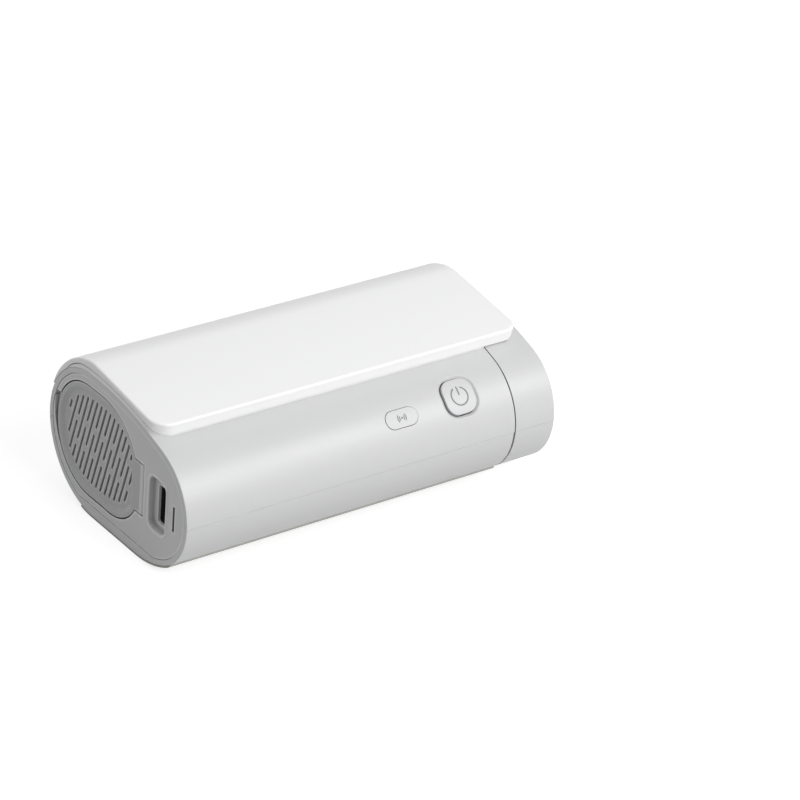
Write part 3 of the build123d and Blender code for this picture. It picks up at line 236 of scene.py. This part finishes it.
def surface(name, colour, edge_colour, roughness, grain, height, tone=0.03, edge=0.4, rim=0.0,
            metallic=0.0, shade=0.6, reach=crevice_reach, start=crevice_start):
    """A solid finish: drifting tone, painted edge highlights, painted crevice shade, moulded grain.

    The grain is in waves per metre and its height in metres. The tone, edge, rim and shade say how
    far the colour drifts, how strongly edges and rims are painted lighter as painted highlight, and
    how strongly crevices are painted darker as painted shade.
    """
    material = bpy.data.materials.new(name)
    material.use_nodes = True
    tree = material.node_tree
    shader = tree.nodes["Principled BSDF"]
    shader.inputs["Metallic"].default_value = metallic
    texture = tree.nodes.new("ShaderNodeGroup")
    texture.node_tree = moulded
    texture.inputs["Grain per metre"].default_value = grain
    texture.inputs["Drift per metre"].default_value = slow_drift
    edge_highlight = tree.nodes.new("ShaderNodeGroup")
    edge_highlight.node_tree = edges
    edge_highlight.inputs["Amount"].default_value = edge
    edge_highlight.inputs["Rim"].default_value = rim
    tint = tree.nodes.new("ShaderNodeMix")
    tint.data_type = "RGBA"
    tint.inputs["A"].default_value = [c * (1 - tone) for c in colour] + [1]
    tint.inputs["B"].default_value = [min(1, c * (1 + tone)) for c in colour] + [1]
    highlight_mix = tree.nodes.new("ShaderNodeMix")
    highlight_mix.data_type = "RGBA"
    highlight_mix.inputs["B"].default_value = list(edge_colour) + [1]
    painted_shade_mask = tree.nodes.new("ShaderNodeGroup")
    painted_shade_mask.node_tree = crevice
    painted_shade_mask.inputs["Reach"].default_value = reach
    painted_shade_mask.inputs["Start"].default_value = start
    painted_shade_mask.inputs["Amount"].default_value = shade
    painted_shade_mix = tree.nodes.new("ShaderNodeMix")
    painted_shade_mix.data_type = "RGBA"
    painted_shade_mix.inputs["B"].default_value = [c * painted_shade_tone for c in colour] + [1]
    satin = tree.nodes.new("ShaderNodeMapRange")
    satin.inputs["To Min"].default_value = roughness - gloss_drift
    satin.inputs["To Max"].default_value = roughness + gloss_drift
    bump = tree.nodes.new("ShaderNodeBump")
    bump.inputs["Strength"].default_value = 1.0
    bump.inputs["Distance"].default_value = height
    rounding = tree.nodes.new("ShaderNodeBevel")
    rounding.samples = rounding_samples
    rounding.inputs["Radius"].default_value = moulded_edge_radius
    tree.links.new(texture.outputs["Drift"], tint.inputs["Factor"])
    tree.links.new(tint.outputs["Result"], highlight_mix.inputs["A"])
    tree.links.new(edge_highlight.outputs["Edge"], highlight_mix.inputs["Factor"])
    tree.links.new(highlight_mix.outputs["Result"], painted_shade_mix.inputs["A"])
    tree.links.new(painted_shade_mask.outputs["Shade"], painted_shade_mix.inputs["Factor"])
    tree.links.new(painted_shade_mix.outputs["Result"], shader.inputs["Base Color"])
    tree.links.new(texture.outputs["Drift"], satin.inputs["Value"])
    tree.links.new(satin.outputs["Result"], shader.inputs["Roughness"])
    tree.links.new(texture.outputs["Height"], bump.inputs["Height"])
    tree.links.new(rounding.outputs["Normal"], bump.inputs["Normal"])
    tree.links.new(bump.outputs["Normal"], shader.inputs["Normal"])
    return material


weld_distance, sharp_edge_degrees = 0.000002, 28


def dress(material, *names, smooth_angle=sharp_edge_degrees):
    """Gives CAD nodes a material and smooth shading that stays sharp at real edges."""
    for name in names:
        piece = nodes[name]
        piece.data.materials.clear()
        piece.data.materials.append(material)
        piece.data.shade_smooth()
        weld = piece.modifiers.new("weld", "WELD")
        weld.merge_threshold = weld_distance
        split = piece.modifiers.new("sharp_edges", "EDGE_SPLIT")
        split.split_angle = math.radians(smooth_angle)
        split.use_edge_sharp = False


housing_plastic = surface(
    "housing_plastic", housing_grey, edge_colour=(0.82, 0.82, 0.824), roughness=0.36,
    grain=common_grain, height=0.000012, tone=0.012, edge=0.55, shade=0.25
)
dress(housing_plastic, "upper_shell", "lower_shell")

# ------------------------------------------------------------------ top cover
# The cover is a separate white moulding, pressed on by six pegs. It is smoother and brighter than
# the housing, and its rim is rounded.
cover_white = (0.965, 0.966, 0.968)
# Its rounded rim carries a painted highlight, and its lower edges a faint painted shade.
cover_plastic = surface(
    "cover_plastic", cover_white, edge_colour=(0.98, 0.98, 0.98), roughness=0.4, grain=1900,
    height=0.000008, tone=0.008, edge=0.6, shade=0.3
)
dress(cover_plastic, "top_cover")

# ------------------------------------------------------------------ seat strip
# A thin light band that the cover sits on. Only its end shows, at the inlet end of the machine.
strip_plastic = surface(
    "strip_plastic", (0.94, 0.94, 0.944), edge_colour=(0.97, 0.97, 0.97), roughness=0.5,
    grain=2200, height=0.00001, tone=0.015, edge=0.6, shade=0.35
)
dress(strip_plastic, "cover_seat_strip")

# ------------------------------------------------------------------ base pad
# A thin skin of warm grey rubber, bonded under the housing so that the machine doesn't slide. It is
# cast against a matt mould. Its grey is painted lighter than the rubber's, as painted light in the
# shade along the floor, and its edges carry a painted highlight.
pad_rubber = surface(
    "pad_rubber", (0.42, 0.415, 0.385), edge_colour=(0.5, 0.495, 0.47), roughness=0.82,
    grain=1500, height=0.00004, tone=0.08, shade=0.1
)
dress(pad_rubber, "base_pad")

# ------------------------------------------------------------------ inlet end
# The plate at the inlet end is clipped into the shells, a little below their edge. It holds the
# power socket in a deep recess with a raised rim, and the slot of the card reader. Its plastic is
# the housing's. Shade is painted darker into the recess and along its border, and a painted
# highlight lightens its raised rim and edges.
cap_plastic = surface(
    "cap_plastic", housing_grey, edge_colour=(0.94, 0.94, 0.944), roughness=0.38,
    grain=common_grain, height=0.000012, tone=0.012, edge=0.8, shade=0.95, reach=0.0032,
    start=0.72, rim=0.9
)
dress(cap_plastic, "inlet_end_cap", smooth_angle=12)

# ------------------------------------------------------------------ filter cover
# An oval door with slanted air slits, moulded in a grey a little deeper than the housing's. It
# turns on a thin steel pin.
# The slits are painted dark as painted shade, and the door's rims carry a painted highlight.
door_plastic = surface(
    "door_plastic", (0.48, 0.482, 0.486), edge_colour=(0.86, 0.86, 0.864), roughness=0.45,
    grain=common_grain, height=0.000014, tone=0.015, edge=0.6, shade=1.0, reach=0.002, start=0.7,
    rim=0.7
)
dress(door_plastic, "filter_cover", smooth_angle=10)
pin_steel = surface(
    "pin_steel", (0.6, 0.6, 0.61), edge_colour=(0.75, 0.75, 0.75), roughness=0.28, grain=5000,
    height=0.000002, metallic=1.0
)
dress(pin_steel, "filter_cover_pin")

# ------------------------------------------------------------------ filter
# A pad of black open-cell foam, cut to the oval of its box. The box is dark moulded plastic.
filter_foam = surface(
    "filter_foam", (0.045, 0.046, 0.05), edge_colour=(0.1, 0.1, 0.1), roughness=0.95, grain=900,
    height=0.0005, tone=0.5, edge=0.3
)
dress(filter_foam, "air_filter")
inner_plastic = surface(
    "inner_plastic", (0.16, 0.165, 0.17), edge_colour=(0.26, 0.26, 0.26), roughness=0.55,
    grain=1800, height=0.00002, tone=0.05
)
dress(inner_plastic, "filter_box")

# ------------------------------------------------------------------ silencer and inlet duct
# A moulded box lined with soft grey foam, and a flat duct that leads to the eye of the blower.
dress(inner_plastic, "silencer_box", "inlet_duct")
damping_foam = surface(
    "damping_foam", (0.13, 0.13, 0.14), edge_colour=(0.2, 0.2, 0.2), roughness=0.95, grain=1100,
    height=0.0004, tone=0.35, edge=0.3
)
dress(damping_foam, "silencer_foam")

# ------------------------------------------------------------------ blower tray and rubber mounts
# The tray is screwed to the floor of the housing, and three soft rubber blocks carry the blower.
dress(inner_plastic, "chassis")
mount_rubber = surface(
    "mount_rubber", (0.1, 0.1, 0.11), edge_colour=(0.18, 0.18, 0.18), roughness=0.75, grain=1500,
    height=0.00003, tone=0.08
)
dress(mount_rubber, "blower_mounts")

# ------------------------------------------------------------------ blower
# Two halves of a scroll in natural plastic, with an impeller of the same stuff inside.
scroll_plastic = surface(
    "scroll_plastic", (0.5, 0.505, 0.5), edge_colour=(0.62, 0.62, 0.62), roughness=0.42,
    grain=1700, height=0.00001
)
dress(scroll_plastic, "volute_lower", "volute_upper", "impeller")

# ------------------------------------------------------------------ motor
# A plated steel can with a wound stator, a ring magnet on a ground shaft, and two bearings.
can_metal = surface(
    "can_metal", (0.42, 0.42, 0.43), edge_colour=(0.6, 0.6, 0.6), roughness=0.38, grain=900,
    height=0.00001, tone=0.08, metallic=1.0
)
dress(can_metal, "motor_can")
shaft_steel = surface(
    "shaft_steel", (0.62, 0.62, 0.63), edge_colour=(0.8, 0.8, 0.8), roughness=0.2, grain=6000,
    height=0.000001, metallic=1.0
)
dress(shaft_steel, "shaft_bearings", "rotor_shaft")
winding_copper = surface(
    "winding_copper", (0.5, 0.22, 0.09), edge_colour=(0.7, 0.4, 0.2), roughness=0.4, grain=3000,
    height=0.0001, tone=0.2, metallic=0.7
)
dress(winding_copper, "motor_stator")
magnet_metal = surface(
    "magnet_metal", (0.09, 0.09, 0.1), edge_colour=(0.25, 0.25, 0.25), roughness=0.5, grain=1500,
    height=0.00002, tone=0.1, metallic=0.6
)
dress(magnet_metal, "rotor_magnet")

# ------------------------------------------------------------------ air outlet
# A soft silicone duct leads to the bulkhead behind the seam, whose spigot carries a rubber ring.
duct_silicone = surface(
    "duct_silicone", (0.3, 0.31, 0.33), edge_colour=(0.4, 0.4, 0.42), roughness=0.6, grain=1200,
    height=0.00002, tone=0.06
)
dress(duct_silicone, "outlet_duct", "spigot_seal")
dress(inner_plastic, "outlet_bulkhead")
sensor_black = surface(
    "sensor_black", (0.035, 0.035, 0.037), edge_colour=(0.12, 0.12, 0.12), roughness=0.45,
    grain=2500, height=0.00001, tone=0.08
)
dress(sensor_black, "flow_sensor")

# ------------------------------------------------------------------ circuit boards
# Green boards with black chips, a shielded radio module and two small push switches.
board_green = surface(
    "board_green", (0.02, 0.14, 0.06), edge_colour=(0.3, 0.35, 0.2), roughness=0.35, grain=700,
    height=0.00002, tone=0.2, edge=0.6
)
dress(board_green, "main_board", "power_switch_board", "wireless_switch_board")
dress(sensor_black, "board_components", "tact_switches")
shield_metal = surface(
    "shield_metal", (0.66, 0.66, 0.67), edge_colour=(0.8, 0.8, 0.8), roughness=0.3, grain=1500,
    height=0.00001, tone=0.04, metallic=1.0
)
dress(shield_metal, "wireless_module", "card_reader")

# ------------------------------------------------------------------ power socket and memory card
# A black socket with three gold-plated blades, and a thin black card in its reader.
dress(sensor_black, "power_socket", "memory_card")
blade_gold = surface(
    "blade_gold", (0.83, 0.62, 0.28), edge_colour=(0.9, 0.75, 0.45), roughness=0.25, grain=4000,
    height=0.000002, metallic=1.0
)
dress(blade_gold, "socket_contacts")

# ------------------------------------------------------------------ buttons
# Two satin grey keys. The power key sits in a dished ring, and both carry inlaid grey symbols.
key_plastic = surface(
    "key_plastic", (0.65, 0.652, 0.657), edge_colour=(0.8, 0.8, 0.805), roughness=0.42,
    grain=common_grain, height=0.000008, tone=0.01
)
dress(housing_plastic, "power_button_bezel")
dress(key_plastic, "power_button", "wireless_button")
symbol_grey = surface(
    "symbol_grey", (0.28, 0.284, 0.29), edge_colour=(0.34, 0.34, 0.34), roughness=0.5,
    grain=common_grain, height=0.000006, edge=0.0
)
dress(symbol_grey, "power_icon", "wireless_icon")

# ------------------------------------------------------------------ outlet module
# The section beyond the seam pulls off. Its shells match the housing, its end plate has a round
# well, and the tube for the hose stands in the middle of the well.
dress(housing_plastic, "module_upper_shell", "module_lower_shell", "outlet_end_plate")
dress(housing_plastic, "outlet_well", "hose_outlet")
dress(inner_plastic, "module_skirt")

# ------------------------------------------------------------------ screws
# Zinc-plated self-tapping screws hold the shells, the tray and the blower together.
screw_zinc = surface(
    "screw_zinc", (0.55, 0.55, 0.54), edge_colour=(0.75, 0.75, 0.74), roughness=0.32, grain=3000,
    height=0.000004, metallic=1.0
)
dress(screw_zinc, "case_screws", "module_screws", "chassis_screws", "volute_screws")
